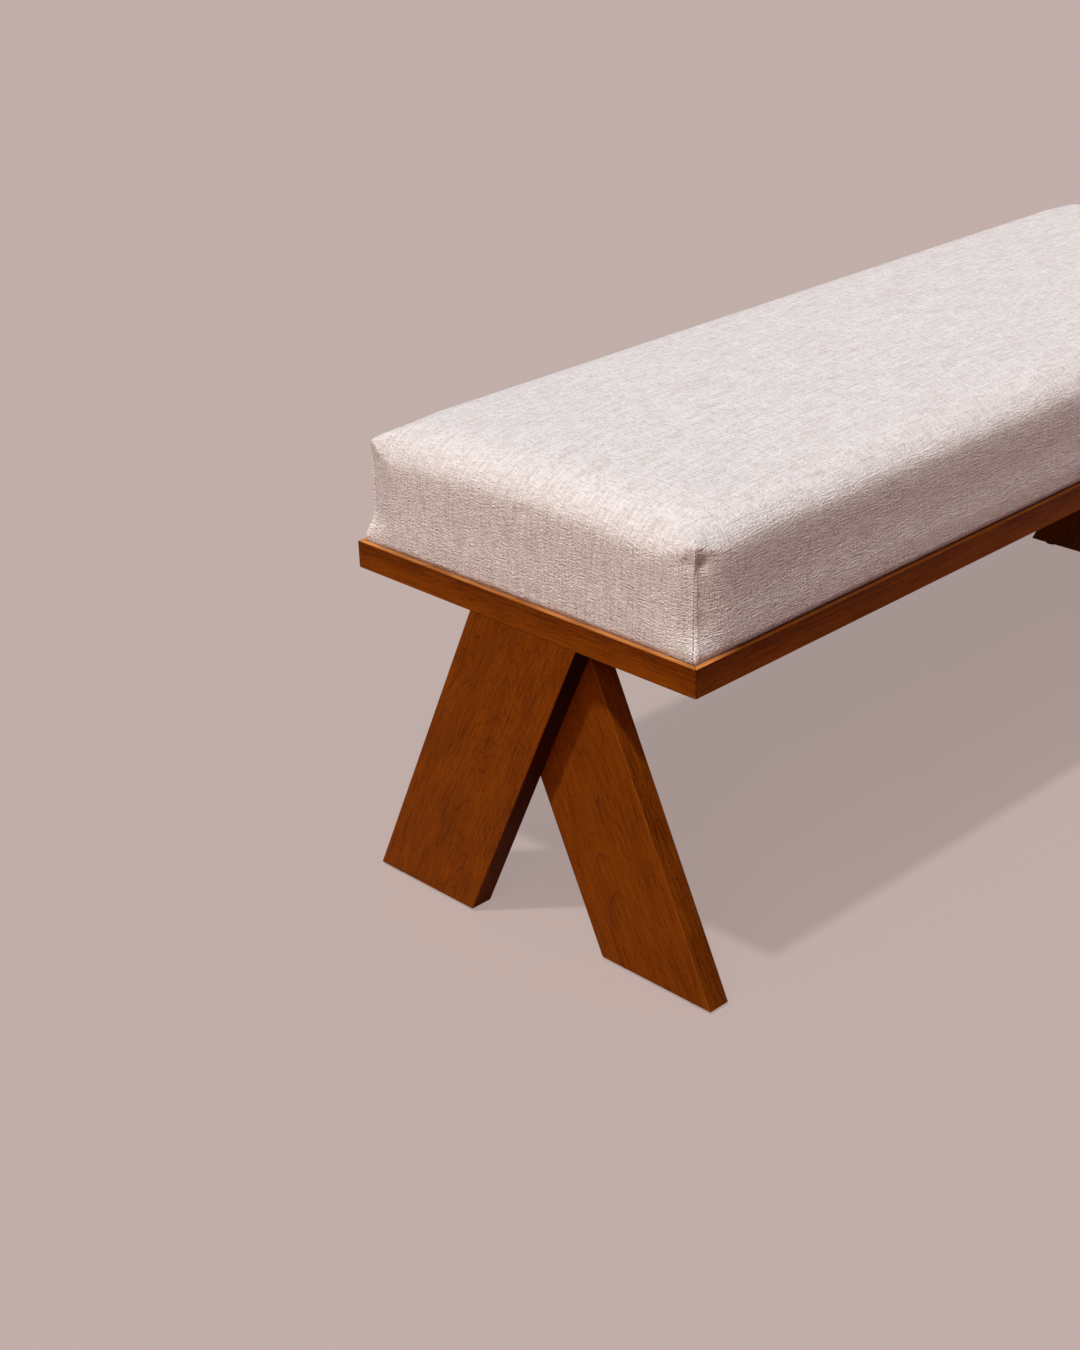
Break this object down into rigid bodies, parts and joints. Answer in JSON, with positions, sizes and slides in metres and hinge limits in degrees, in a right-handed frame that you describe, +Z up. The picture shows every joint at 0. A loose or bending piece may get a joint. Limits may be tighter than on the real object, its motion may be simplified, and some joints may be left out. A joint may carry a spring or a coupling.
{
  "type": "upholstered bench",
  "caption": "Long bench with a thick upholstered block seat set into a shallow hardwood frame, on wide plank legs that cross as an upside-down V at each end.",
  "frame": {"origin": "middle of the bench's footprint, on the floor", "axes": "+X along the bench, +Y across it towards the back, +Z up"},
  "size_m": [1.2, 0.43, 0.4806],
  "materials": {
    "stained_hardwood": "satin reddish-brown stain, straight grain",
    "plain_beech": "sanded, unfinished",
    "birch_plywood": "sanded, unfinished",
    "oatmeal_linen": "slubby plain weave",
    "seat_foam": "open-cell foam",
    "polyester_wadding": "soft and fibrous",
    "black_lining": "thin non-woven cloth",
    "zinc_plated_steel": "zinc plated",
    "brass": "plain turned",
    "dark_nylon": "moulded"
  },
  "bodies": {
    "root": {"side_rail_front": "stained_hardwood", "side_rail_back": "stained_hardwood", "end_rail_left": "stained_hardwood", "end_rail_right": "stained_hardwood", "leg_left_outer": "stained_hardwood", "leg_left_inner": "stained_hardwood", "leg_right_outer": "stained_hardwood", "leg_right_inner": "stained_hardwood", "mitre_spline_front_left": "plain_beech", "mitre_spline_front_right": "plain_beech", "mitre_spline_back_left": "plain_beech", "mitre_spline_back_right": "plain_beech", "cross_rail_1": "plain_beech", "cross_rail_2": "plain_beech", "corner_block_front_left": "plain_beech", "corner_block_front_right": "plain_beech", "corner_block_back_left": "plain_beech", "corner_block_back_right": "plain_beech", "lap_dowel_left_1": "plain_beech", "lap_dowel_left_2": "plain_beech", "lap_dowel_right_1": "plain_beech", "lap_dowel_right_2": "plain_beech", "leg_bolt_left_outer_1": "zinc_plated_steel", "leg_bolt_left_outer_2": "zinc_plated_steel", "leg_bolt_left_inner_1": "zinc_plated_steel", "leg_bolt_left_inner_2": "zinc_plated_steel", "leg_bolt_right_outer_1": "zinc_plated_steel", "leg_bolt_right_outer_2": "zinc_plated_steel", "leg_bolt_right_inner_1": "zinc_plated_steel", "leg_bolt_right_inner_2": "zinc_plated_steel", "barrel_nut_left_outer_1": "brass", "barrel_nut_left_outer_2": "brass", "barrel_nut_left_inner_1": "brass", "barrel_nut_left_inner_2": "brass", "barrel_nut_right_outer_1": "brass", "barrel_nut_right_outer_2": "brass", "barrel_nut_right_inner_1": "brass", "barrel_nut_right_inner_2": "brass", "foot_glide_left_outer_1": "dark_nylon", "foot_glide_left_outer_2": "dark_nylon", "foot_glide_left_inner_1": "dark_nylon", "foot_glide_left_inner_2": "dark_nylon", "foot_glide_right_outer_1": "dark_nylon", "foot_glide_right_outer_2": "dark_nylon", "foot_glide_right_inner_1": "dark_nylon", "foot_glide_right_inner_2": "dark_nylon", "deck_screw_front_left": "zinc_plated_steel", "deck_screw_front_right": "zinc_plated_steel", "deck_screw_back_left": "zinc_plated_steel", "deck_screw_back_right": "zinc_plated_steel", "deck_screw_front_1": "zinc_plated_steel", "deck_screw_front_2": "zinc_plated_steel", "deck_screw_back_1": "zinc_plated_steel", "deck_screw_back_2": "zinc_plated_steel", "seat_deck": "birch_plywood", "dust_cover": "black_lining", "seat_foam": "seat_foam", "seat_wadding": "polyester_wadding", "seat_cover": "oatmeal_linen"}
  },
  "joints": []
}
